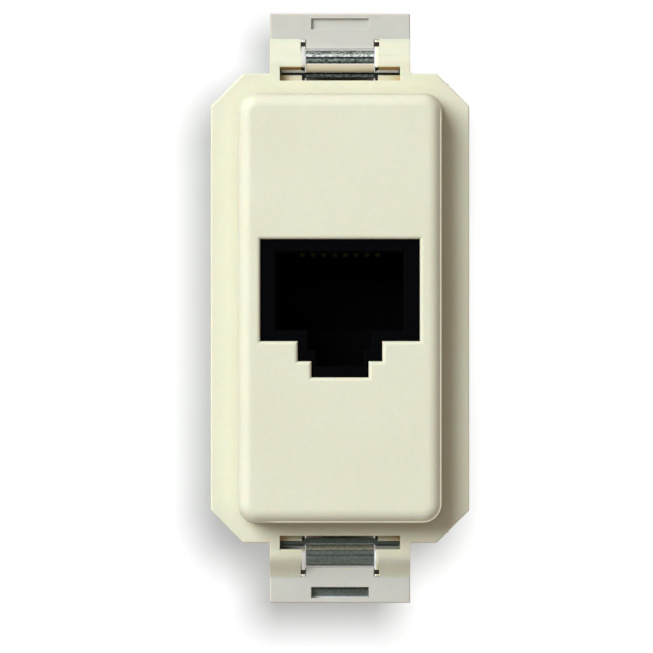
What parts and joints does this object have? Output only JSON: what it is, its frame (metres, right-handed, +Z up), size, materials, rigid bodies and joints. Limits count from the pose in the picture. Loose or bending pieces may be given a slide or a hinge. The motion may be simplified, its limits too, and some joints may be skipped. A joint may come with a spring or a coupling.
{
  "type": "telephone wall socket",
  "caption": "Snap-in telephone socket insert for a wall frame: octagonal ivory flange, raised face with a stepped modular jack opening, sprung clip ears and screw terminals behind.",
  "frame": {"origin": "middle of the face, in the plane of the ear plates' rear face that seats on the support frame", "axes": "+X to the right seen from the front, +Y into the wall, +Z up; the face looks along -Y"},
  "size_m": [0.0244, 0.0261, 0.056],
  "materials": {
    "ivory_plastic": "moulded, satin gloss",
    "grey_plastic": "moulded, fine matt",
    "spring_steel": "rolled strip, handled",
    "black_plastic": "moulded, satin",
    "black_insert": "moulded, matt",
    "gold_plating": "drawn wire, gold plated",
    "board_laminate": "solder mask",
    "brass": "stamped",
    "plated_washer": "zinc plated",
    "plated_screw": "zinc plated"
  },
  "bodies": {
    "root": {"front_frame": "ivory_plastic", "rear_housing": "grey_plastic", "clip_spring_top": "spring_steel", "clip_spring_bottom": "spring_steel", "jack_shell": "black_plastic", "contact_block": "black_insert", "contact_1": "gold_plating", "contact_2": "gold_plating", "contact_3": "gold_plating", "contact_4": "gold_plating", "contact_5": "gold_plating", "contact_6": "gold_plating", "contact_7": "gold_plating", "contact_8": "gold_plating", "circuit_board": "board_laminate", "terminal_1": "brass", "terminal_2": "brass", "terminal_3": "brass", "terminal_4": "brass", "terminal_5": "brass", "terminal_6": "brass", "terminal_7": "brass", "terminal_8": "brass", "clamp_washers": "plated_washer", "terminal_screws": "plated_screw"}
  },
  "joints": []
}
